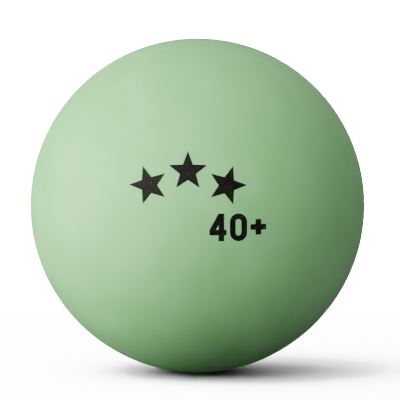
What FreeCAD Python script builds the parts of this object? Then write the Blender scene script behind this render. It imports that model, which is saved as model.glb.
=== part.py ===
"""A 40+ table tennis ball, built as the real one is: two injection-moulded half shells, a cement
film in the stepped joint between them, and the ink printed over the front shell's pole.

Millimetres. The origin is the ball's centre. +Z is up as the ball lies with its print facing forward.
+Y is the joint's axis: the front shell, with the print, is on the -Y side, the rear shell on the +Y
side, and the outside joint line lies in the plane y = 0.

Every shell and the cement are bodies of revolution about Y. Their sections are drawn in the XY plane,
with x as the radius from the axis and y as the height along it.
"""
import FreeCAD
import Part
import math
import os

V = FreeCAD.Vector

# ---- the ball ----
BALL_DIAMETER = 40.2          # outside diameter; the 40+ rule allows 40.0 to 40.6
WALL = 0.50                   # shell wall away from the joint
ABS_DENSITY = 1.05e-3         # grams per cubic millimetre

# ---- the stepped joint ----
JOINT_WALL = 0.80             # total wall at the joint, thickened inward
TONGUE_LENGTH = 1.20          # how far the rear shell's tongue reaches into the front shell
TONGUE_THICKNESS = 0.36
TONGUE_LEAD_IN = 0.10         # chamfer on the tongue's outer corner
CEMENT_FILM = 0.04            # film thickness everywhere in the joint
CEMENT_BEAD = 0.10            # radius of the bead squeezed out inside
FRONT_LEDGE = 0.50            # thick rim kept in the front shell beyond the socket's floor
REAR_RIM = 1.00               # thick rim kept in the rear shell above the joint line
RIM_BLEND = 0.90              # length of the taper from the thick rim to the plain wall

# ---- the moulding gate, inside each pole ----
GATE_RADIUS = 0.60
GATE_HEIGHT = 0.10

# ---- the print ----
INK_THICKNESS = 0.03
STAR_RADIUS = 2.30            # centre to point
STAR_WAIST = 0.42             # inner radius as a share of STAR_RADIUS
STAR_GAP = 0.15               # sideways between the points of neighbouring stars, were they level
STAR_RISE = 1.60              # how far the middle star stands above the other two
STAR_LEAN = 18.0              # degrees that each outer star leans outward
STAR_GROUP_X = -1.10          # middle of the group
STAR_GROUP_Z = 3.70           # centre height of the outer two stars
SIZE_MARK_X = 1.40            # left edge of the size mark
SIZE_MARK_DROP = 0.95         # from the outer stars' lowest reach to the numerals' tops
CAP_HEIGHT = 3.20             # numerals of the size mark
STROKE = 0.62
NUMERAL_WIDTH = 1.95
NUMERAL_GAP = 0.42
PLUS_SPAN = 1.80
FOUR_BAR_RISE = 0.70          # underside of the 4's crossbar above its foot
FOUR_BAR_END = 0.28           # how far the crossbar runs past the stem

OUTER_R = BALL_DIAMETER / 2
INNER_R = OUTER_R - WALL
RIM_R = OUTER_R - JOINT_WALL                  # bore of the thick rim, and the tongue's inner face
TONGUE_R = RIM_R + TONGUE_THICKNESS           # tongue's outer face
SOCKET_R = TONGUE_R + CEMENT_FILM             # front shell's socket wall
LAND_Y = CEMENT_FILM / 2                      # each shell's outer land is this far from y = 0
SOCKET_FLOOR_Y = -(TONGUE_LENGTH + CEMENT_FILM)
SIZE_MARK_Z = STAR_GROUP_Z - STAR_RADIUS - SIZE_MARK_DROP - CAP_HEIGHT


def radius_at(sphere_radius, y):
    """Distance from the axis to a sphere about the origin at height y."""
    return math.sqrt(sphere_radius ** 2 - y ** 2)


def arc(sphere_radius, y_from, y_to):
    """Edge along a sphere's section, from one height to another."""
    start, end = (math.asin(y / sphere_radius) for y in (y_from, y_to))
    y_mid = sphere_radius * math.sin((start + end) / 2)
    points = [V(radius_at(sphere_radius, y), y, 0) for y in (y_from, y_mid, y_to)]
    return Part.Arc(*points).toShape()


def line(start, end):
    return Part.makeLine(V(*start, 0), V(*end, 0))


def chain(*corners):
    """Straight edges through the corners, each given as (radius, height)."""
    return [line(a, b) for a, b in zip(corners, corners[1:])]


def revolved(edges):
    """Solid of revolution about Y from a closed section."""
    face = Part.Face(Part.Wire(edges))
    solid = face.revolve(V(0, 0, 0), V(0, 1, 0), 360)
    if solid.Volume < 0:
        solid.reverse()
    return solid


def shell_section(side, rim_y, rim_end):
    """Closed section of a half shell: outer arc, gate stub, inner arc, taper to the thick rim, rim.

    side is -1 for the front shell and +1 for the rear one, rim_y is where the thick rim stops, and
    rim_end lists the (radius, height) corners that follow it, down to the outer edge of the land.
    """
    stub_top = side * (INNER_R - GATE_HEIGHT)
    stub_foot = side * radius_at(INNER_R, GATE_RADIUS)
    blend_y = rim_y + side * RIM_BLEND
    outer = arc(OUTER_R, side * LAND_Y, side * OUTER_R)
    stub = chain((0, side * OUTER_R), (0, stub_top), (GATE_RADIUS, stub_top), (GATE_RADIUS, stub_foot))
    inner = arc(INNER_R, stub_foot, blend_y)
    rim = chain((radius_at(INNER_R, blend_y), blend_y), (RIM_R, rim_y), *rim_end)
    return [outer, *stub, inner, *rim]


def front_half_shell():
    """The half that carries the print, with a socket cut inside its rim for the tongue."""
    rim_end = [
        (RIM_R, SOCKET_FLOOR_Y),
        (SOCKET_R, SOCKET_FLOOR_Y),
        (SOCKET_R, -LAND_Y),
        (radius_at(OUTER_R, LAND_Y), -LAND_Y),
    ]
    return revolved(shell_section(-1, SOCKET_FLOOR_Y - FRONT_LEDGE, rim_end))


def rear_half_shell():
    """The plain half, whose tongue reaches past y = 0 into the front shell's socket."""
    rim_end = [
        (RIM_R, -TONGUE_LENGTH),
        (TONGUE_R - TONGUE_LEAD_IN, -TONGUE_LENGTH),
        (TONGUE_R, -TONGUE_LENGTH + TONGUE_LEAD_IN),
        (TONGUE_R, LAND_Y),
        (radius_at(OUTER_R, LAND_Y), LAND_Y),
    ]
    return revolved(shell_section(1, REAR_RIM, rim_end))


def seam_cement():
    """Cement film: flush outside, down the socket wall, across its floor, with a bead inside."""
    bead_y = (SOCKET_FLOOR_Y - TONGUE_LENGTH) / 2
    land_r = radius_at(OUTER_R, LAND_Y)
    outside = Part.Arc(V(land_r, LAND_Y, 0), V(OUTER_R, 0, 0), V(land_r, -LAND_Y, 0)).toShape()
    front_side = chain(
        (land_r, -LAND_Y),
        (SOCKET_R, -LAND_Y),
        (SOCKET_R, SOCKET_FLOOR_Y),
        (RIM_R, SOCKET_FLOOR_Y),
        (RIM_R, bead_y - CEMENT_BEAD),
    )
    bead = Part.Arc(
        V(RIM_R, bead_y - CEMENT_BEAD, 0),
        V(RIM_R - CEMENT_BEAD, bead_y, 0),
        V(RIM_R, bead_y + CEMENT_BEAD, 0),
    ).toShape()
    rear_side = chain(
        (RIM_R, bead_y + CEMENT_BEAD),
        (RIM_R, -TONGUE_LENGTH),
        (TONGUE_R - TONGUE_LEAD_IN, -TONGUE_LENGTH),
        (TONGUE_R, -TONGUE_LENGTH + TONGUE_LEAD_IN),
        (TONGUE_R, LAND_Y),
        (land_r, LAND_Y),
    )
    return revolved([outside, *front_side, bead, *rear_side])


def flat_face(outline, holes=()):
    """Face in the plane y = 0 from outlines given as (x, z) points or as wires."""
    def wire(shape):
        if isinstance(shape, Part.Wire):
            return shape
        return Part.makePolygon([V(x, 0, z) for x, z in [*shape, shape[0]]])
    face = Part.Face(wire(outline))
    for hole in holes:
        face = face.cut(Part.Face(wire(hole)))
    return face


def printed(face):
    """Ink film over the front pole wherever the flat artwork covers it."""
    prism = face.extrude(V(0, -OUTER_R - 2 * INK_THICKNESS, 0))      # past the ink's outside
    within_ink = prism.common(Part.makeSphere(OUTER_R + INK_THICKNESS))
    return within_ink.cut(Part.makeSphere(OUTER_R)).Solids[0]


def star(x, z, lean):
    """Five-pointed star about (x, z), one point up and then leaned clockwise by some degrees."""
    corners = []
    for i in range(10):
        reach = STAR_RADIUS * (1 if i % 2 == 0 else STAR_WAIST)
        angle = math.radians(90 - lean - 36 * i)
        corners.append((x + reach * math.cos(angle), z + reach * math.sin(angle)))
    return flat_face(corners)


def star_print():
    """Three stars in an arch, with the middle one higher."""
    pitch = 2 * STAR_RADIUS * math.cos(math.radians(18)) + STAR_GAP
    places = [(-pitch, 0, -STAR_LEAN), (0, STAR_RISE, 0), (pitch, 0, STAR_LEAN)]
    stars = [star(STAR_GROUP_X + x, STAR_GROUP_Z + z, lean) for x, z, lean in places]
    return [printed(face) for face in stars]


def stadium(x, z, width, height):
    """Upright slot outline with full round ends, its lower left corner at (x, z)."""
    r = width / 2
    low, high = z + r, z + height - r
    edges = [
        Part.makeLine(V(x, 0, low), V(x, 0, high)),
        Part.Arc(V(x, 0, high), V(x + r, 0, high + r), V(x + width, 0, high)).toShape(),
        Part.makeLine(V(x + width, 0, high), V(x + width, 0, low)),
        Part.Arc(V(x + width, 0, low), V(x + r, 0, low - r), V(x, 0, low)).toShape(),
    ]
    return Part.Wire(edges)


def numeral_four(x, z):
    """A 4: upright stem, crossbar and diagonal, with a three-sided opening between them."""
    stem_x = x + NUMERAL_WIDTH - FOUR_BAR_END - STROKE
    bar_z = z + FOUR_BAR_RISE
    top = z + CAP_HEIGHT
    outline = [
        (stem_x, z), (stem_x + STROKE, z), (stem_x + STROKE, bar_z),
        (x + NUMERAL_WIDTH, bar_z), (x + NUMERAL_WIDTH, bar_z + STROKE),
        (stem_x + STROKE, bar_z + STROKE), (stem_x + STROKE, top), (stem_x, top),
        (x, bar_z + STROKE), (x, bar_z), (stem_x, bar_z),
    ]
    run, rise = stem_x - x, top - bar_z - STROKE
    inset = STROKE * math.hypot(run, rise) / rise      # the diagonal's width along the crossbar
    opening = [
        (x + inset, bar_z + STROKE),
        (stem_x, bar_z + STROKE),
        (stem_x, top - inset * rise / run),
    ]
    return flat_face(outline, [opening])


def numeral_zero(x, z):
    inside = stadium(x + STROKE, z + STROKE, NUMERAL_WIDTH - 2 * STROKE, CAP_HEIGHT - 2 * STROKE)
    return flat_face(stadium(x, z, NUMERAL_WIDTH, CAP_HEIGHT), [inside])


def plus_sign(x, z):
    """A plus at half the numerals' height, its left end at x."""
    cx, cz = x + PLUS_SPAN / 2, z + CAP_HEIGHT / 2
    arm, half = PLUS_SPAN / 2, STROKE / 2
    quarter = [(half, arm), (half, half), (arm, half)]
    corners = []
    for turn in range(4):
        c, s = round(math.cos(turn * math.pi / 2)), round(math.sin(turn * math.pi / 2))
        corners += [(cx + c * a + s * b, cz - s * a + c * b) for a, b in quarter]
    return flat_face(corners)


def size_print():
    """The size designation 40+, as three separate patches of ink."""
    step = NUMERAL_WIDTH + NUMERAL_GAP
    faces = [
        numeral_four(SIZE_MARK_X, SIZE_MARK_Z),
        numeral_zero(SIZE_MARK_X + step, SIZE_MARK_Z),
        plus_sign(SIZE_MARK_X + 2 * step, SIZE_MARK_Z),
    ]
    return [printed(face) for face in faces]


def main():
    nodes = {
        "front_half_shell": [front_half_shell()],
        "rear_half_shell": [rear_half_shell()],
        "seam_cement": [seam_cement()],
        "star_print": star_print(),
        "size_print": size_print(),
    }
    os.makedirs("parts", exist_ok=True)
    for name, solids in nodes.items():
        shape = solids[0] if len(solids) == 1 else Part.makeCompound(solids)
        shape.exportStep(f"parts/{name}.step")
        volume = sum(s.Volume for s in solids)
        print(f"{name}: {len(solids)} solids, {volume:.2f} mm3, valid {all(s.isValid() for s in solids)}")
    total = sum(s.Volume for solids in nodes.values() for s in solids)
    print(f"ball mass {total * ABS_DENSITY:.3f} g")


main()
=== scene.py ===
# %% [markdown]
# # A table tennis ball, size 40+
# The ball lies on a white sweep with its print facing us. Its real size, its joint and its print come
# from a imported CAD model, which is loaded first and stays as it is. Each CAD node is then replaced by a
# finer piece in the same place. The box of the CAD model is kept.

# %% Load the frame
import math

import bmesh
import bpy
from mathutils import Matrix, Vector


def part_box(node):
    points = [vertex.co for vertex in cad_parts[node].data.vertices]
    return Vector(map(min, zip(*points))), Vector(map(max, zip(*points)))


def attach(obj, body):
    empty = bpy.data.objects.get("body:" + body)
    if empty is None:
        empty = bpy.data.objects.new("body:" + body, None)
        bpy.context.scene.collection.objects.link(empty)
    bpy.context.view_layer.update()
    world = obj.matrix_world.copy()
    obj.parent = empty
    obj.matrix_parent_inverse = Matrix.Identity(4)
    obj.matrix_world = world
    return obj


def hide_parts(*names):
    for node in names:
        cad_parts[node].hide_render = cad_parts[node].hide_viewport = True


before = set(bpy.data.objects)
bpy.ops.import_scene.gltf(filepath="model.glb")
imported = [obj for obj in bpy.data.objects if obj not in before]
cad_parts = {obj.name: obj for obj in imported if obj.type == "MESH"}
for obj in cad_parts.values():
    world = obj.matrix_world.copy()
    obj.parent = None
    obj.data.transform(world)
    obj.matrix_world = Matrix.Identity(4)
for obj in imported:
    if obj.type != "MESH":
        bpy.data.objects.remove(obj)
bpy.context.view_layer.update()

# %% [markdown]
# ## Sizes
# The ball is two moulded half shells. Their joint is a step that lies in the vertical plane y = 0: a
# tongue on the rear shell sits in a socket in the front shell, with a film of cement in between. The
# outside sizes are read from the frame. The wall thicknesses can't be read from a box, so they are
# written here.

# %% Read the sizes
MM = 0.001
front_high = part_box("front_half_shell")[1]
rear_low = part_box("rear_half_shell")[0]

BALL_R = front_high.x
LAND = -front_high.y                     # each shell's edge lies this far from y = 0
FILM = 2 * LAND                          # cement film
WALL = 0.50 * MM
JOINT_WALL = 0.80 * MM
TONGUE_THICKNESS = 0.36 * MM
LEAD_IN = 0.10 * MM                      # chamfer on the tongue
FRONT_LEDGE = 0.50 * MM                  # thick rim beyond the socket's floor
REAR_RIM = 1.00 * MM                     # thick rim above the joint
RIM_BLEND = 0.90 * MM                    # taper from the thick rim to the plain wall
GATE_R = 0.60 * MM                       # moulding gate inside each pole
GATE_HEIGHT = 0.10 * MM

INNER_R = BALL_R - WALL
RIM_R = BALL_R - JOINT_WALL
TONGUE_R = RIM_R + TONGUE_THICKNESS
SOCKET_R = TONGUE_R + FILM
TONGUE_TIP = rear_low.y
SOCKET_FLOOR = TONGUE_TIP - FILM
print(f"ball {2 * BALL_R / MM:.2f} mm across, tongue tip at y = {TONGUE_TIP / MM:.2f} mm")

# %% [markdown]
# ## A pen made of edit-mode tools
# A moulded half shell is a turned shape, because its mould is cut on a lathe. So the way to model it is
# to draw half of its section and to spin that round the axis. A cube rounded into a ball would also
# give the outside, but not the step, the rim and the inner wall in one clean surface.
#
# The drawing is done with a pen of three strokes. A tiny plane is merged into one point. Extruding the
# point draws a straight line, and spinning it round a centre draws an arc.

# %% The pen
TOUCHING = 0.001 * MM                    # points closer than this are one point


def nothing_selected():
    tools = bpy.ops.object if bpy.context.mode == "OBJECT" else bpy.ops.mesh
    tools.select_all(action="DESELECT")


def live_point():
    """The one selected vertex of the mesh in edit mode."""
    mesh = bmesh.from_edit_mesh(bpy.context.object.data)
    return next(v.co.copy() for v in mesh.verts if v.select)


def pen_down(place):
    """Start a stroke. In object mode this starts a new piece, with its origin at the ball's centre."""
    nothing_selected()
    bpy.ops.mesh.primitive_plane_add(size=MM)
    bpy.ops.object.mode_set(mode="EDIT")
    bpy.ops.mesh.merge(type="CENTER")
    bpy.ops.transform.translate(value=Vector(place))


def line_to(*places):
    for place in places:
        step = Vector(place) - live_point()
        bpy.ops.mesh.extrude_vertices_move(TRANSFORM_OT_translate={"value": step})


def arc_about(centre, axis, degrees, steps):
    """Draw an arc. The spin tool turns clockwise for a positive angle, so the sign is changed here."""
    bpy.ops.mesh.spin(steps=steps, angle=-math.radians(degrees), center=centre, axis=axis)


def pen_up(name):
    """Close what meets, leave edit mode and name the piece."""
    bpy.ops.mesh.select_all(action="SELECT")
    bpy.ops.mesh.remove_doubles(threshold=TOUCHING)
    bpy.ops.object.mode_set(mode="OBJECT")
    piece = bpy.context.object
    piece.name = piece.data.name = name
    print(f"{name}: {len(piece.data.vertices)} points, {len(piece.data.polygons)} faces")
    return piece


# %% Spin a drawn section into a solid
TURN_STEPS = 192
SMOOTH_ANGLE = math.radians(32)


def turn(name):
    """Spin the section round the ball's Y axis, then close the poles and point the faces outwards."""
    bpy.ops.mesh.select_all(action="SELECT")
    bpy.ops.mesh.spin(steps=TURN_STEPS, angle=2 * math.pi, center=(0, 0, 0), axis=(0, 1, 0))
    bpy.ops.mesh.select_all(action="SELECT")
    bpy.ops.mesh.remove_doubles(threshold=TOUCHING)
    bpy.ops.mesh.normals_make_consistent(inside=False)
    piece = pen_up(name)
    bpy.ops.object.shade_smooth_by_angle(angle=SMOOTH_ANGLE)
    return piece


# %% [markdown]
# ## The two half shells
# Each shell's section starts at its outer pole and runs along the outside to the joint. The moulded
# edge there isn't knife sharp. It is rounded by a few hundredths of a millimetre, and the two rounded
# edges together make the fine groove that shows where a real ball is joined. After the edge come the
# steps of the joint, the thick rim, the inner wall and the little moulding gate at the inner pole.

# %% Draw a half shell
RING_STEP = 1.4                          # degrees between the rings of the dome
EDGE_ROUND = 0.03 * MM
EDGE_STEPS = 4
Z_AXIS = (0, 0, 1)
CENTRE = (0, 0, 0)


def height_angle(y, radius):
    """Angle above the joint's plane, in degrees, of a point at height y on a sphere."""
    return math.degrees(math.asin(y / radius))


def dome(start, end):
    """Arc about the ball's centre from one angle to another, with rings RING_STEP apart."""
    arc_about(CENTRE, Z_AXIS, end - start, max(1, round(abs(end - start) / RING_STEP)))


def draw_half_shell(side, rim_start, rim_corners):
    """side is -1 for the front shell and +1 for the rear one. Corners are (distance from axis, y)."""
    edge_y = side * (LAND + EDGE_ROUND)
    pen_down((0, side * BALL_R, 0))
    dome(side * 90, height_angle(edge_y, BALL_R))
    arc_about(live_point() - Vector((EDGE_ROUND, 0, 0)), Z_AXIS, -side * 90, EDGE_STEPS)
    line_to(*[(r, y, 0) for r, y in rim_corners])

    blend_y = rim_start + side * RIM_BLEND
    blend_angle = height_angle(blend_y, INNER_R)
    line_to((INNER_R * math.cos(math.radians(blend_angle)), blend_y, 0))
    gate_angle = side * math.degrees(math.acos(GATE_R / INNER_R))
    dome(blend_angle, gate_angle)
    gate_y = side * (INNER_R - GATE_HEIGHT)
    line_to((GATE_R, gate_y, 0), (0, gate_y, 0))


front_rim = SOCKET_FLOOR - FRONT_LEDGE
draw_half_shell(-1, front_rim, [(SOCKET_R, -LAND), (SOCKET_R, SOCKET_FLOOR), (RIM_R, SOCKET_FLOOR),
                                (RIM_R, front_rim)])
front_shell = turn("front_shell")

# %% The rear shell has the tongue
draw_half_shell(1, REAR_RIM, [(TONGUE_R, LAND), (TONGUE_R, TONGUE_TIP + LEAD_IN),
                              (TONGUE_R - LEAD_IN, TONGUE_TIP), (RIM_R, TONGUE_TIP),
                              (RIM_R, REAR_RIM)])
rear_shell = turn("rear_shell")

# %% [markdown]
# ## The cement in the joint
# Cement is brushed on the tongue before the shells are pushed together. It fills the step as a thin
# film, dries slightly hollow in the groove outside, and leaves a small bead inside. It is a turned
# shape as well, drawn as one closed outline.

# %% Draw and spin the cement
SUNK = 0.022 * MM                        # how far the dried film lies below the ball's surface
HOLLOW_R = 0.030 * MM                    # radius of its hollow outer face
HOLLOW_STEPS = 4
BEAD_R = 0.10 * MM
BEAD_STEPS = 8

outside = BALL_R - SUNK
hollow_centre = outside + math.sqrt(HOLLOW_R ** 2 - LAND ** 2)
hollow_degrees = 2 * math.degrees(math.asin(LAND / HOLLOW_R))
bead_y = (SOCKET_FLOOR + TONGUE_TIP) / 2

pen_down((outside, LAND, 0))
arc_about((hollow_centre, 0, 0), Z_AXIS, hollow_degrees, HOLLOW_STEPS)
line_to((SOCKET_R, -LAND, 0), (SOCKET_R, SOCKET_FLOOR, 0), (RIM_R, SOCKET_FLOOR, 0),
        (RIM_R, bead_y - BEAD_R, 0))
arc_about((RIM_R, bead_y, 0), Z_AXIS, -180, BEAD_STEPS)
line_to((RIM_R, TONGUE_TIP, 0), (TONGUE_R - LEAD_IN, TONGUE_TIP, 0),
        (TONGUE_R, TONGUE_TIP + LEAD_IN, 0), (TONGUE_R, LAND, 0), (outside, LAND, 0))
cement = turn("joint_cement")

# %% [markdown]
# ## The print
# The mark on a ball is pad printed: a soft silicone pad picks the ink up from a flat plate and rolls it
# over the curved shell. The artwork is modelled the same way. It is drawn flat in front of the ball,
# cut into a fine grid so that it can bend, wrapped over the shell along Y, and then given its ink
# thickness.

# %% Cut the flat artwork into a grid
PLATE_Y = -BALL_R - 2 * MM               # the flat artwork lies in this plane, in front of the ball
GRID = 0.30 * MM


def cut_grid(piece):
    """Cut the flat artwork by lines GRID apart, both ways."""
    low, high = (Vector(f(v.co[i] for v in piece.data.vertices) for i in range(3)) for f in (min, max))
    bpy.ops.object.mode_set(mode="EDIT")
    for normal in (Vector((1, 0, 0)), Vector((0, 0, 1))):
        start, span = low.dot(normal), (high - low).dot(normal)
        count = math.ceil(span / GRID)
        for i in range(1, count):
            bpy.ops.mesh.select_all(action="SELECT")
            bpy.ops.mesh.bisect(plane_co=normal * (start + span * i / count), plane_no=normal)
    bpy.ops.object.mode_set(mode="OBJECT")


# %% Press the artwork onto the ball
INK = 0.03 * MM
INK_ROOT = 0.005 * MM                    # the film's underside lies this far inside the shell


def modify(piece, kind, **settings):
    """Add a modifier, set it and apply it."""
    modifier = piece.modifiers.new(kind.title(), kind)
    for name, value in settings.items():
        setattr(modifier, name, value)
    bpy.ops.object.modifier_apply(modifier=modifier.name)


def face_the_camera(piece):
    """Turn the flat artwork's faces towards -Y, which will be outwards."""
    bpy.ops.object.mode_set(mode="EDIT")
    bpy.ops.mesh.select_all(action="SELECT")
    if bmesh.from_edit_mesh(piece.data).faces[:][0].normal.y > 0:
        bpy.ops.mesh.flip_normals()
    bpy.ops.object.mode_set(mode="OBJECT")


def press(piece):
    """Wrap the flat artwork over the shell, take out the shell's facets and give the ink its thickness."""
    nothing_selected()
    piece.select_set(True)
    bpy.context.view_layer.objects.active = piece
    face_the_camera(piece)
    cut_grid(piece)
    modify(piece, "SHRINKWRAP", target=front_shell, wrap_method="PROJECT", use_project_y=True,
           use_negative_direction=False, use_positive_direction=True)
    modify(piece, "CAST", cast_type="SPHERE", factor=1.0, size=BALL_R, radius=0.0)
    thickness = INK + INK_ROOT
    modify(piece, "SOLIDIFY", thickness=thickness, offset=1 - 2 * INK_ROOT / thickness)
    bpy.ops.object.shade_smooth_by_angle(angle=SMOOTH_ANGLE)
    print(f"{piece.name}: {len(piece.data.polygons)} faces")
    return piece


# %% [markdown]
# ### Three stars
# Three stars are the grade that a match ball carries. A star is a ten-sided circle with every second
# corner pulled in. Its points are rounded a little, because the ink's edge runs.

# %% Make the stars
STARS = 3
STAR_WAIST = 0.42                        # inner corners, as a share of the points' radius
SIDE_POINT = 18                          # degrees that a star's side points stand above the level
STAR_LEAN = SIDE_POINT                   # the outer stars lean outwards until one point is level
STAR_GAP = 0.15 * MM
STAR_ROUND = 0.06 * MM
CORNER_STEPS = 3
MIDDLE_STAR = 2

stars_low, stars_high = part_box("star_print")
side_reach = math.cos(math.radians(SIDE_POINT))
# The outer stars' level points end the group's width, so half of it is a pitch and a radius.
star_r = ((stars_high.x - stars_low.x) / 2 - STAR_GAP) / (1 + 2 * side_reach)
star_pitch = 2 * star_r * side_reach + STAR_GAP
group_x = (stars_low.x + stars_high.x) / 2
middle_z = stars_high.z - star_r
outer_z = stars_low.z + star_r * math.cos(math.radians(STAR_LEAN))
print(f"stars of {star_r / MM:.2f} mm radius, {star_pitch / MM:.2f} mm apart, "
      f"at z = {outer_z / MM:.2f} and {middle_z / MM:.2f} mm")


def star(number):
    """Star 1 is the left one, 2 the middle one and 3 the right one."""
    side = number - MIDDLE_STAR
    centre = Vector((group_x + side * star_pitch, PLATE_Y, outer_z if side else middle_z))
    nothing_selected()
    bpy.ops.mesh.primitive_circle_add(
        vertices=10, radius=star_r, fill_type="NGON", location=centre,
        rotation=(math.pi / 2, math.radians(side * STAR_LEAN), 0))
    piece = bpy.context.object
    piece.name = piece.data.name = f"printed_star_{number}"
    bpy.ops.object.transform_apply(location=True, rotation=True, scale=True)
    bpy.ops.object.mode_set(mode="EDIT")
    nothing_selected()
    mesh = bmesh.from_edit_mesh(piece.data)
    for corner in list(mesh.verts)[1::2]:
        corner.select = True
    bpy.ops.transform.resize(value=(STAR_WAIST,) * 3, center_override=centre)
    bpy.ops.mesh.select_all(action="SELECT")
    bpy.ops.mesh.bevel(offset=STAR_ROUND, segments=CORNER_STEPS, affect="VERTICES")
    bpy.ops.object.mode_set(mode="OBJECT")
    return press(piece)


stars = [star(number) for number in range(1, STARS + 1)]

# %% [markdown]
# ### The size mark
# 40+ says that the ball is the plastic kind of 40 mm and a little more. The 4 has a slanted stroke and
# an opening, so its two outlines are drawn with the pen and filled. The 0 is two long circles with the
# faces bridged between them. The plus is a small square whose four sides are extruded.

# %% Measure the size mark
STROKE = 0.62 * MM
NUMERAL_WIDTH = 1.95 * MM
NUMERAL_GAP = 0.42 * MM
FOUR_BAR_RISE = 0.70 * MM                # underside of the 4's crossbar above its foot
FOUR_BAR_END = 0.28 * MM                 # how far the crossbar runs past the stem
CORNER_ROUND = 0.05 * MM

mark_low, mark_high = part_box("size_print")
cap_height = mark_high.z - mark_low.z
zero_x = mark_low.x + NUMERAL_WIDTH + NUMERAL_GAP
plus_x = zero_x + NUMERAL_WIDTH + NUMERAL_GAP
plus_span = mark_high.x - plus_x
print(f"size mark {cap_height / MM:.2f} mm tall, plus sign {plus_span / MM:.2f} mm across")


# %% The 4
def draw_four(x, z):
    """Outline and opening of the 4, with its lower left corner at (x, z)."""
    stem_x = x + NUMERAL_WIDTH - FOUR_BAR_END - STROKE
    stem_end, bar_end = stem_x + STROKE, x + NUMERAL_WIDTH
    bar_low = z + FOUR_BAR_RISE
    bar_high, top = bar_low + STROKE, z + cap_height
    outline = [(stem_x, z), (stem_end, z), (stem_end, bar_low), (bar_end, bar_low), (bar_end, bar_high),
               (stem_end, bar_high), (stem_end, top), (stem_x, top), (x, bar_high), (x, bar_low),
               (stem_x, bar_low)]
    run, rise = stem_x - x, top - bar_high
    inset = STROKE * math.hypot(run, rise) / rise
    opening = [(x + inset, bar_high), (stem_x, bar_high), (stem_x, top - inset * rise / run)]
    for loop in (outline, opening):
        places = [(px, PLATE_Y, pz) for px, pz in loop]
        pen_down(places[0])
        line_to(*places[1:], places[0])
    bpy.ops.mesh.select_all(action="SELECT")
    bpy.ops.mesh.remove_doubles(threshold=TOUCHING)
    bpy.ops.mesh.bevel(offset=CORNER_ROUND, segments=CORNER_STEPS, affect="VERTICES")
    bpy.ops.mesh.select_all(action="SELECT")
    bpy.ops.mesh.fill(use_beauty=True)


draw_four(mark_low.x, mark_low.z)
four = press(pen_up("printed_4"))


# %% The 0
TOWARDS_US = (0, -1, 0)
HALF_CIRCLE_STEPS = 24


def long_circle(radius, rise, centre):
    """Two half circles joined by two upright lines. It is drawn anticlockwise, as the print is read."""
    side, up = Vector((radius, 0, 0)), Vector((0, 0, rise / 2))
    pen_down(centre + side - up)
    line_to(centre + side + up)
    arc_about(centre + up, TOWARDS_US, 180, HALF_CIRCLE_STEPS)
    line_to(centre - side - up)
    arc_about(centre - up, TOWARDS_US, 180, HALF_CIRCLE_STEPS)


zero_centre = Vector((zero_x + NUMERAL_WIDTH / 2, PLATE_Y, mark_low.z + cap_height / 2))
for radius in (NUMERAL_WIDTH / 2, NUMERAL_WIDTH / 2 - STROKE):
    long_circle(radius, cap_height - NUMERAL_WIDTH, zero_centre)
bpy.ops.mesh.select_all(action="SELECT")
bpy.ops.mesh.remove_doubles(threshold=TOUCHING)
bpy.ops.mesh.bridge_edge_loops()
zero = press(pen_up("printed_0"))

# %% The plus sign
plus_centre = Vector((plus_x + plus_span / 2, PLATE_Y, mark_low.z + cap_height / 2))
nothing_selected()
bpy.ops.mesh.primitive_plane_add(size=STROKE, location=plus_centre, rotation=(math.pi / 2, 0, 0))
bpy.ops.object.transform_apply(location=True, rotation=True, scale=True)
bpy.ops.object.mode_set(mode="EDIT")
bpy.ops.mesh.select_mode(type="EDGE")
for way in ((1, 0, 0), (-1, 0, 0), (0, 0, 1), (0, 0, -1)):
    way = Vector(way)
    nothing_selected()
    for edge in bmesh.from_edit_mesh(bpy.context.object.data).edges:
        middle = (edge.verts[0].co + edge.verts[1].co) / 2
        edge.select = (middle - plus_centre - way * STROKE / 2).length < TOUCHING
    arm = way * (plus_span - STROKE) / 2
    bpy.ops.mesh.extrude_edges_move(TRANSFORM_OT_translate={"value": arm})
bpy.ops.mesh.select_mode(type="VERT")
plus = press(pen_up("printed_plus"))

# %% [markdown]
# ## Camera
# The camera stands half a metre away and a little above the ball. A long lens from far away keeps the
# ball round and undistorted, where a short lens close by would swell its middle.

# %% Camera
CAMERA_DISTANCE = 0.50
CAMERA_ELEVATION = math.radians(4)
BALL_SHARE = 0.8365                      # the ball fills this part of the frame's width
AIM = Vector((0.30 * MM, 0, 0.64 * MM))  # a little above and to the right of the ball's centre

bpy.ops.object.camera_add()
camera = bpy.context.object
camera.name = "camera"
back = Vector((0, -math.cos(CAMERA_ELEVATION), math.sin(CAMERA_ELEVATION)))
camera.location = AIM + back * CAMERA_DISTANCE
camera.rotation_euler = (-back).to_track_quat("-Z", "Y").to_euler()
half_view = math.atan(math.tan(math.asin(BALL_R / CAMERA_DISTANCE)) / BALL_SHARE)
camera.data.lens = camera.data.sensor_width / 2 / math.tan(half_view)
camera.data.clip_start = 0.01
bpy.context.scene.camera = camera
print(f"lens {camera.data.lens:.0f} mm")

# %% [markdown]
# ## Shared effects
# Three effects return on more than one of the finishes, so each of them is a node group that is built
# once. A group has its own named inputs, and every material sets them to its own values. They all read
# Object coordinates, which are metres from the ball's centre, so that a pattern has its real size and
# stays where it is when the camera moves.

# %% Short ways to add nodes
def add_node(tree, kind, inputs=None, **settings):
    """Add a node, with its settings and with each input set to a value or joined to an output."""
    made = tree.nodes.new(kind)
    for name, value in settings.items():
        setattr(made, name, value)
    for name, value in (inputs or {}).items():
        if isinstance(value, bpy.types.NodeSocket):
            tree.links.new(value, made.inputs[name])
        else:
            made.inputs[name].default_value = value
    return made


def maths(tree, operation, *values):
    """The result of one Math node."""
    return add_node(tree, "ShaderNodeMath", dict(enumerate(values)), operation=operation).outputs[0]


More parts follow.
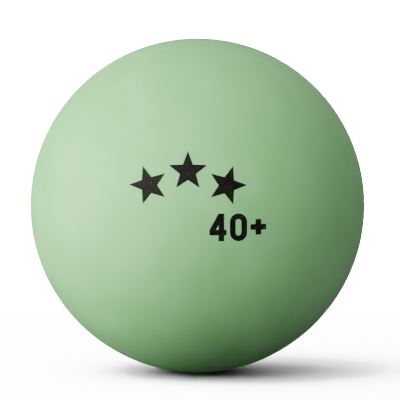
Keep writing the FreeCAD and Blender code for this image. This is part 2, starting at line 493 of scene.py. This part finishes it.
def spread(tree, value, low, high, new_low=0.0, new_high=1.0):
    """Map a value's range from low..high to new_low..new_high, and clamp it there."""
    inputs = {"Value": value, "From Min": low, "From Max": high, "To Min": new_low, "To Max": new_high}
    return add_node(tree, "ShaderNodeMapRange", inputs).outputs["Result"]


def object_place(tree):
    """Where a point lies on the piece, in metres from the ball's centre."""
    return add_node(tree, "ShaderNodeTexCoord").outputs["Object"]


def fineness(tree, size_mm):
    """The scale of a texture whose cells are this many millimetres across."""
    return maths(tree, "DIVIDE", 1 / MM, size_mm)


def noise(tree, place, scale, detail, **more):
    """A noise texture's value. Its other sockets can be named, such as Roughness."""
    inputs = {"Vector": place, "Scale": scale, "Detail": detail, **more}
    return add_node(tree, "ShaderNodeTexNoise", inputs).outputs[0]


# %% A group with named inputs
def new_group(name, inputs, outputs):
    """An empty shader group with these number sockets. Returns its tree and the sockets at its ends."""
    group = bpy.data.node_groups.new(name, "ShaderNodeTree")
    for socket, value in inputs.items():
        made = group.interface.new_socket(socket, in_out="INPUT", socket_type="NodeSocketFloat")
        made.default_value = value
    for socket in outputs:
        group.interface.new_socket(socket, in_out="OUTPUT", socket_type="NodeSocketFloat")
    return group, add_node(group, "NodeGroupInput").outputs, add_node(group, "NodeGroupOutput").inputs


def place_group(tree, group, values):
    """Put a group in a material with its own values, and return its outputs."""
    return add_node(tree, "ShaderNodeGroup", values, node_tree=group).outputs


# %% [markdown]
# ### Tumbled grain
# A finished ball is tumbled in a drum with fine abrasive, until its shine and the flash of its joint
# are gone. That leaves overlapping dents, a tenth of a millimetre across, on a surface that still
# waves a little from the mould. One noise gives the dents and a larger one the waves. A third noise,
# larger again, gives the clouds that the colour drifts in. Ink and cement lie on the same grain and
# soften it, so they use this group with a coarser size.

# %% Tumbled grain
CLOUD_SIZE = 4.0                         # the clouds are this much larger than the waves
CLOUD_SHARE = 0.7                        # of the mottle, and the dents give the rest
MOTTLE_LOW, MOTTLE_HIGH = 0.35, 0.65     # noise seldom leaves this range


def build_tumbled_grain():
    sizes = {"Grain mm": 0.1, "Wave mm": 1.0, "Waviness": 1.0}
    group, given, result = new_group("tumbled_grain", sizes, ("Height", "Mottle"))
    place = object_place(group)
    dents = noise(group, place, fineness(group, given["Grain mm"]), 3.0, Roughness=0.6)
    broad = fineness(group, given["Wave mm"])
    waves = noise(group, place, broad, 1.0, Distortion=0.3)
    swell = maths(group, "MULTIPLY", waves, given["Waviness"])
    group.links.new(maths(group, "ADD", dents, swell), result["Height"])

    clouds = noise(group, place, maths(group, "DIVIDE", broad, CLOUD_SIZE), 3.0)
    mixed = maths(group, "ADD", maths(group, "MULTIPLY", clouds, CLOUD_SHARE),
                  maths(group, "MULTIPLY", dents, 1 - CLOUD_SHARE))
    group.links.new(spread(group, mixed, MOTTLE_LOW, MOTTLE_HIGH), result["Mottle"])
    return group


tumbled_grain = build_tumbled_grain()
print("group tumbled_grain:", len(tumbled_grain.nodes), "nodes")

# %% [markdown]
# ### Scattered dots
# Small round flaws are found on every finish here. They are specks of pigment in the plastic, pinholes
# where the ink missed the bottom of a dent, and bubbles in the cement. A Voronoi texture puts one
# point in each cell of a jittered grid. The cell's own random colour decides whether its point shows
# and how large it is, so the dots look strewn and not laid out.

# %% Scattered dots
SMALLEST_DOT = 0.5                       # radius, as a share of the largest dot's
FULL_DOT = 0.6                           # a dot is full up to this share of its radius, then it fades


def build_scattered_dots():
    sizes = {"Spacing mm": 1.0, "Radius": 0.2, "Share": 0.3}
    group, given, result = new_group("scattered_dots", sizes, ("Dots",))
    cells = add_node(group, "ShaderNodeTexVoronoi",
                     {"Vector": object_place(group), "Scale": fineness(group, given["Spacing mm"])})
    chance = add_node(group, "ShaderNodeSeparateColor", {"Color": cells.outputs["Color"]}).outputs
    shown = maths(group, "LESS_THAN", chance["Red"], given["Share"])
    size = spread(group, chance["Green"], 0, 1, SMALLEST_DOT, 1)
    radius = maths(group, "MULTIPLY", given["Radius"], size)
    near = maths(group, "DIVIDE", cells.outputs["Distance"], radius)
    dot = add_node(group, "ShaderNodeMapRange", {"Value": near, "From Min": 1.0, "From Max": FULL_DOT},
                   interpolation_type="SMOOTHSTEP").outputs["Result"]
    group.links.new(maths(group, "MULTIPLY", dot, shown), result["Dots"])
    return group


scattered_dots = build_scattered_dots()
print("group scattered_dots:", len(scattered_dots.nodes), "nodes")

# %% [markdown]
# ### Rub marks
# Balls rub against each other in the drum and in their box, and that leaves faint, short streaks. The
# noise is squeezed across and drawn out along one direction, and only its highest crests are kept. Two
# such directions are laid over each other, so that the streaks cross.

# %% Rub marks
RUB_TURNS = ((20, 35, -25), (-40, 15, 60))   # degrees about X, Y and Z
HIGHEST_CREST = 0.78                     # noise hardly ever passes this value
CREST_DROP = 0.3                         # how far the limit comes down when Share is 1
CREST_RAMP = 0.12                        # a streak fades in over this range


def build_rub_marks():
    sizes = {"Length mm": 5.0, "Width mm": 0.15, "Share": 0.3}
    group, given, result = new_group("rub_marks", sizes, ("Marks",))
    place = object_place(group)
    across = fineness(group, given["Width mm"])
    along = fineness(group, given["Length mm"])
    stretch = add_node(group, "ShaderNodeCombineXYZ", {"X": along, "Y": across, "Z": across}).outputs[0]
    limit = maths(group, "SUBTRACT", HIGHEST_CREST, maths(group, "MULTIPLY", given["Share"], CREST_DROP))
    full = maths(group, "ADD", limit, CREST_RAMP)
    layers = []
    for turn_by in RUB_TURNS:
        turned = add_node(group, "ShaderNodeMapping",
                          {"Vector": place, "Rotation": [math.radians(d) for d in turn_by]})
        drawn = add_node(group, "ShaderNodeVectorMath", {0: turned.outputs[0], 1: stretch},
                         operation="MULTIPLY")
        layers.append(spread(group, noise(group, drawn.outputs[0], 1.0, 1.0), limit, full))
    group.links.new(maths(group, "MAXIMUM", *layers), result["Marks"])
    return group


rub_marks = build_rub_marks()
print("group rub_marks:", len(rub_marks.nodes), "nodes")

# %% [markdown]
# ## How a finish is put together
# Each finish is one Principled shader. Its colour starts as two shades mixed by the mottle, and each
# effect then takes it towards a shade of its own. The bumps are chained, each one laid over the last,
# and their Distance is the real depth in metres. Image maps would do as well, but they blur when one
# looks closer, and these patterns don't.

# %% Short ways to build a finish
def new_material(name, values):
    """A material, its tree and its Principled shader, whose plain values are set on its own sockets."""
    material = bpy.data.materials.new(name)
    material.use_nodes = True
    tree = material.node_tree
    shader = tree.nodes["Principled BSDF"]
    for socket, value in values.items():
        shader.inputs[socket].default_value = value
    return material, tree, shader


COLOUR_A, COLOUR_B, COLOUR_OUT = 6, 7, 2   # places of a Mix node's colour sockets


def blend_colours(tree, amount, first, second):
    """Mix two colours, each of them a colour or another node's output."""
    node = add_node(tree, "ShaderNodeMix", {"Factor": amount}, data_type="RGBA")
    for slot, colour in ((COLOUR_A, first), (COLOUR_B, second)):
        if isinstance(colour, bpy.types.NodeSocket):
            tree.links.new(colour, node.inputs[slot])
        else:
            node.inputs[slot].default_value = (*colour, 1)
    return node.outputs[COLOUR_OUT]


def tint(tree, colour, mask, strength, towards):
    """Take the colour this far towards another where the mask is 1."""
    return blend_colours(tree, maths(tree, "MULTIPLY", mask, strength), colour, towards)


def shift(tree, value, mask, amount):
    """Add this amount to the value where the mask is 1."""
    return maths(tree, "ADD", value, maths(tree, "MULTIPLY", mask, amount))


def bump(tree, height, depth, below=None):
    """A relief of this depth in metres, laid over the one below."""
    inputs = {"Height": height, "Distance": depth}
    if below is not None:
        inputs["Normal"] = below
    return add_node(tree, "ShaderNodeBump", inputs).outputs[0]


def finish(tree, shader, colour, roughness, relief):
    """Join the three results to the shader."""
    tree.links.new(colour, shader.inputs["Base Color"])
    tree.links.new(roughness, shader.inputs["Roughness"])
    tree.links.new(relief, shader.inputs["Normal"])


# %% [markdown]
# ## The ball's plastic
# The shells are ABS, coloured right through in a pale green and tumbled matt. The colour drifts a
# little where the melt flowed, and holds a few specks. Along the joint a band was buffed, so it is
# paler and smoother, and its fine lines run round the ball. The band is a mask made from the height
# above the joint's plane, with a noise added to it so that its edge is ragged.

# %% Where the joint was buffed
BUFFED_HALF_WIDTH = 0.55 * MM
BUFFED_FADE = BUFFED_HALF_WIDTH / 2      # how softly the band ends, to either side of its edge
BUFFED_RAGGED = 0.3 * MM                 # how far the band's edge strays
STRAY_LOW, STRAY_HIGH = 0.3, 0.7         # the noise's range that makes it stray that far
RAGGED_SIZE = 1.7                        # mm
BUFF_LINE_WIDTH = 0.11                   # mm

plastic, tree, shader = new_material("tumbled_plastic", {"IOR": 1.50, "Specular IOR Level": 0.35})
place = object_place(tree)
height = add_node(tree, "ShaderNodeSeparateXYZ", {"Vector": place}).outputs["Y"]
straying = spread(tree, noise(tree, place, fineness(tree, RAGGED_SIZE), 2.0), STRAY_LOW, STRAY_HIGH,
                  -BUFFED_RAGGED, BUFFED_RAGGED)
ragged_height = maths(tree, "ADD", maths(tree, "ABSOLUTE", height), straying)
buffed = spread(tree, ragged_height, BUFFED_HALF_WIDTH + BUFFED_FADE, BUFFED_HALF_WIDTH - BUFFED_FADE)
round_the_ball = add_node(tree, "ShaderNodeCombineXYZ", {"Y": height}).outputs[0]
lines = noise(tree, round_the_ball, fineness(tree, BUFF_LINE_WIDTH), 2.0)
print(f"buffed band {2 * BUFFED_HALF_WIDTH / MM:.1f} mm wide")

# %% The plastic's colour, roughness and relief
PALE_GREEN = (0.386, 0.672, 0.349)
DEEP_GREEN = (0.336, 0.622, 0.297)
BUFFED_GREEN = (0.430, 0.700, 0.396)
SPECK_GREEN = (0.290, 0.540, 0.250)
GRAIN_DEPTH = 0.010 * MM
BUFF_LINE_DEPTH = 0.004 * MM
RUB_DEPTH = 0.003 * MM

grain = place_group(tree, tumbled_grain, {"Grain mm": 0.11, "Wave mm": 1.3, "Waviness": 0.9})
specks = place_group(tree, scattered_dots, {"Spacing mm": 1.6, "Radius": 0.07, "Share": 0.2})["Dots"]
rubs = place_group(tree, rub_marks, {"Length mm": 4.0, "Width mm": 0.16, "Share": 0.38})["Marks"]

colour = blend_colours(tree, grain["Mottle"], DEEP_GREEN, PALE_GREEN)
colour = tint(tree, colour, buffed, 0.8, BUFFED_GREEN)
colour = tint(tree, colour, rubs, 0.5, BUFFED_GREEN)
colour = tint(tree, colour, specks, 0.6, SPECK_GREEN)
roughness = spread(tree, grain["Mottle"], 0, 1, 0.54, 0.66)
roughness = shift(tree, roughness, buffed, -0.12)
roughness = shift(tree, roughness, rubs, -0.10)
relief = bump(tree, grain["Height"], GRAIN_DEPTH)
relief = bump(tree, maths(tree, "MULTIPLY", lines, buffed), BUFF_LINE_DEPTH, relief)
relief = bump(tree, rubs, -RUB_DEPTH, relief)
finish(tree, shader, colour, roughness, relief)
print("tumbled_plastic:", len(tree.nodes), "nodes")

# %% [markdown]
# ## The print's ink
# Pad printing ink is a thin charcoal film. It lies a little uneven, thicker and blacker in one place
# and browner in the next, and it misses the deepest dents, where the green shows as pinholes. The same
# grain is under it, but softened, and the rub marks have worn it a little greyer.

# %% Print ink
THICK_INK = (0.006, 0.006, 0.005)
THIN_INK = (0.025, 0.023, 0.018)
WORN_INK = (0.085, 0.086, 0.070)
INK_GRAIN_DEPTH = 0.0018 * MM
PINHOLE_DEPTH = 0.004 * MM

ink, tree, shader = new_material("charcoal_ink", {"IOR": 1.48, "Specular IOR Level": 0.18})
grain = place_group(tree, tumbled_grain, {"Grain mm": 0.16, "Wave mm": 0.3, "Waviness": 0.7})
pinholes = place_group(tree, scattered_dots, {"Spacing mm": 0.45, "Radius": 0.16, "Share": 0.3})["Dots"]
rubs = place_group(tree, rub_marks, {"Length mm": 2.2, "Width mm": 0.12, "Share": 0.5})["Marks"]

colour = blend_colours(tree, grain["Mottle"], THICK_INK, THIN_INK)
colour = tint(tree, colour, rubs, 0.7, WORN_INK)
colour = tint(tree, colour, pinholes, 0.45, DEEP_GREEN)
roughness = shift(tree, spread(tree, grain["Mottle"], 0, 1, 0.42, 0.58), pinholes, 0.1)
relief = bump(tree, grain["Height"], INK_GRAIN_DEPTH)
relief = bump(tree, pinholes, -PINHOLE_DEPTH, relief)
finish(tree, shader, colour, roughness, relief)
print("charcoal_ink:", len(tree.nodes), "nodes")

# %% [markdown]
# ## The dried cement
# The joint's cement is the same plastic dissolved in a solvent. It dries denser and smoother than the
# shells, a shade darker, and keeps small bubbles that stand up from it. Very little of it shows, only
# the hollow line in the groove, but the bead inside is seen when the ball is cut open.

# %% Dried cement
CEMENT_GREEN = (0.300, 0.530, 0.262)
CEMENT_PALE = (0.352, 0.590, 0.310)
BUBBLE_GREEN = (0.440, 0.660, 0.400)
CEMENT_WAVE_DEPTH = 0.006 * MM
BUBBLE_HEIGHT = 0.008 * MM

dried, tree, shader = new_material("dried_cement", {"IOR": 1.52})
grain = place_group(tree, tumbled_grain, {"Grain mm": 0.3, "Wave mm": 0.7, "Waviness": 1.6})
bubbles = place_group(tree, scattered_dots, {"Spacing mm": 0.2, "Radius": 0.28, "Share": 0.35})["Dots"]
colour = blend_colours(tree, grain["Mottle"], CEMENT_GREEN, CEMENT_PALE)
colour = tint(tree, colour, bubbles, 0.5, BUBBLE_GREEN)
roughness = spread(tree, grain["Mottle"], 0, 1, 0.28, 0.42)
relief = bump(tree, grain["Height"], CEMENT_WAVE_DEPTH)
relief = bump(tree, bubbles, BUBBLE_HEIGHT, relief)
finish(tree, shader, colour, roughness, relief)
print("dried_cement:", len(tree.nodes), "nodes")

# %% [markdown]
# ## Tie the pieces to the frame
# Each piece gets its finish, rides on the ball's one body, and hides the CAD node it stands for.

# %% Dress the pieces
def wear(piece, material, node):
    piece.data.materials.clear()
    piece.data.materials.append(material)
    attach(piece, "root")
    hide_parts(node)
    print(f"{piece.name} wears {material.name} and stands for {node}")


wear(front_shell, plastic, "front_half_shell")
wear(rear_shell, plastic, "rear_half_shell")
wear(cement, dried, "seam_cement")
for piece in stars:
    wear(piece, ink, "star_print")
for piece in (four, zero, plus):
    wear(piece, ink, "size_print")

# %% [markdown]
# ## The paper
# The ball lies on a sweep of white paper, which is lit so brightly that it burns out to plain white all
# round the shadow. It is one large plane. Its height is set in edit mode, so that its own origin stays
# at the ball's centre and the distance from the ball can be read from Object coordinates.

# %% Floor
FLOOR_SIZE = 8.0
nothing_selected()
bpy.ops.mesh.primitive_plane_add(size=FLOOR_SIZE)
floor = bpy.context.object
floor.name = "floor"
bpy.ops.object.mode_set(mode="EDIT")
bpy.ops.transform.translate(value=(0, 0, -BALL_R))
bpy.ops.object.mode_set(mode="OBJECT")
print(f"floor at z = {floor.data.vertices[0].co.z / MM:.2f} mm")

# %% [markdown]
# ### The paper's finish
# Two things can't be had from plain matt paper. The camera should see it brighter than the ball does,
# because the strong light on it would otherwise flood the ball from below. And it should fade to an
# even white before its lamps' light falls off. A Light Path node tells camera rays from the others, and
# the distance from the ball sets the fade.

# %% The paper's finish
PAPER_SEEN = 0.15                        # the part of its light that the paper sends to the camera
PAPER_FELT = 0.0015                      # the part that it sends to the ball
FULL_WHITE = 16.0                        # bright enough to burn out
FADE_START, FADE_END = 40 * MM, 110 * MM
ALONG_THE_FLOOR = (1, 1, 0)


def mix_shaders(tree, amount, first, second):
    return add_node(tree, "ShaderNodeMixShader", {0: amount, 1: first.outputs[0], 2: second.outputs[0]})


paper = bpy.data.materials.new("white_sweep")
paper.use_nodes = True
tree = paper.node_tree
tree.nodes.remove(tree.nodes["Principled BSDF"])
to_camera = add_node(tree, "ShaderNodeLightPath").outputs["Is Camera Ray"]
tone = blend_colours(tree, to_camera, (PAPER_FELT,) * 3, (PAPER_SEEN,) * 3)
matt = add_node(tree, "ShaderNodeBsdfDiffuse", {"Color": tone})
burnt_out = add_node(tree, "ShaderNodeEmission", {"Strength": FULL_WHITE})
flat = add_node(tree, "ShaderNodeVectorMath", {0: object_place(tree), 1: ALONG_THE_FLOOR},
                operation="MULTIPLY").outputs[0]
away = add_node(tree, "ShaderNodeVectorMath", {0: flat}, operation="LENGTH").outputs["Value"]
fade = add_node(tree, "ShaderNodeMapRange", {"Value": away, "From Min": FADE_START, "From Max": FADE_END},
                interpolation_type="SMOOTHSTEP").outputs["Result"]
mixed = mix_shaders(tree, maths(tree, "MULTIPLY", fade, to_camera), matt, burnt_out)
tree.links.new(mixed.outputs[0], tree.nodes["Material Output"].inputs["Surface"])
floor.data.materials.append(paper)
print(f"white_sweep fades to white from {FADE_START / MM:.0f} to {FADE_END / MM:.0f} mm")

# %% [markdown]
# ### The room
# The room is plain white to the camera too, so that the sweep has no end. To the ball it is a dim,
# even light that keeps the shaded side soft. The Filmic view rolls the bright tones off gently, as a
# film does, and its high contrast look keeps the shaded side deep.

# %% The room
ROOM_LIGHT = 0.30
WHITE = (1, 1, 1, 1)

scene = bpy.context.scene
scene.view_settings.view_transform = "Filmic"
scene.view_settings.look = "High Contrast"
scene.world = bpy.data.worlds.new("studio")
scene.world.use_nodes = True
tree = scene.world.node_tree
tree.nodes.remove(tree.nodes["Background"])
dim = add_node(tree, "ShaderNodeBackground", {"Color": WHITE, "Strength": ROOM_LIGHT})
bright = add_node(tree, "ShaderNodeBackground", {"Color": WHITE, "Strength": FULL_WHITE})
to_camera = add_node(tree, "ShaderNodeLightPath").outputs["Is Camera Ray"]
mixed = mix_shaders(tree, to_camera, dim, bright)
tree.links.new(mixed.outputs[0], tree.nodes["World Output"].inputs["Surface"])
print(f"room light {ROOM_LIGHT}, and {FULL_WHITE} to the camera")

# %% [markdown]
# ## The lamps
# A few soft boxes light the ball, and others burn out the paper. Each soft box is a round area lamp.
# Those for the paper are so strong that they would burn out the ball as well, and those for the ball
# would give the paper a second shadow. So the lamps are sorted, which Blender calls light linking: each
# one falls on the ball only or on the paper only. The ball still stands in the way of the paper's lamps,
# and that gives its shadow. The paper itself blocks no lamp.

# %% A soft box
def subjects(name, pieces):
    """A collection of the pieces that a lamp falls on."""
    group = bpy.data.collections.new(name)
    for piece in pieces:
        group.objects.link(piece)
    return group


the_ball = subjects("the_ball", [front_shell, rear_shell, cement, *stars, four, zero, plus])
the_paper = subjects("the_paper", [floor])


def softbox(name, azimuth, elevation, distance, size, watts, falls_on):
    """A round lamp that looks at the ball. Azimuth 0 is in front of the ball and 90 on its right."""
    bpy.ops.object.light_add(type="AREA")
    lamp = bpy.context.object
    lamp.name = name
    a, e = math.radians(azimuth), math.radians(elevation)
    out = Vector((math.sin(a) * math.cos(e), -math.cos(a) * math.cos(e), math.sin(e)))
    lamp.location = out * distance
    lamp.rotation_euler = (-out).to_track_quat("-Z", "Y").to_euler()
    lamp.data.shape = "DISK"
    lamp.data.size = size
    lamp.data.energy = watts
    lamp.visible_camera = False
    lamp.light_linking.receiver_collection = falls_on
    lamp.light_linking.blocker_collection = the_ball
    print(f"{name}: {watts} W on {falls_on.name}")


# %% [markdown]
# ### The ball's lamps
# The key light is a large box at the front left, and the front light fills the middle of the ball. The
# left light lifts the left edge. Behind the ball a low light and a back light keep the right edge and
# the far side from going black, as white walls would. The low light stands under the paper and shines
# through it, in place of the light that bright paper throws up.

# %% Light the ball
BALL_LAMP_DISTANCE = 0.30


def light_the_ball(name, azimuth, elevation, size, watts):
    softbox(name, azimuth, elevation, BALL_LAMP_DISTANCE, size, watts, the_ball)


light_the_ball("key_light", azimuth=-45, elevation=15, size=0.50, watts=1.05)
light_the_ball("front_light", azimuth=-30, elevation=15, size=0.30, watts=0.30)
light_the_ball("left_light", azimuth=-90, elevation=0, size=0.15, watts=0.45)
light_the_ball("low_light", azimuth=120, elevation=-30, size=0.15, watts=0.08)
light_the_ball("back_light", azimuth=150, elevation=50, size=0.30, watts=0.12)

# %% [markdown]
# ### The paper's lamps
# The shadow runs out to the right, soft all round and nearly black under the ball. The smallest lamp,
# high on the left, draws its core. Two wide ones on the left draw it out and blur it, and a very wide
# one overhead leaves only the contact dark.

# %% Light the paper
PAPER_LAMP_DISTANCE = 1.00


def light_the_paper(name, azimuth, elevation, size, watts):
    softbox(name, azimuth, elevation, PAPER_LAMP_DISTANCE, size, watts, the_paper)


light_the_paper("paper_key_light", azimuth=-70, elevation=65, size=0.80, watts=420)
light_the_paper("paper_wide_light", azimuth=-70, elevation=65, size=2.20, watts=150)
light_the_paper("paper_left_light", azimuth=-90, elevation=50, size=2.20, watts=220)
light_the_paper("paper_sky_light", azimuth=0, elevation=90, size=7.00, watts=700)
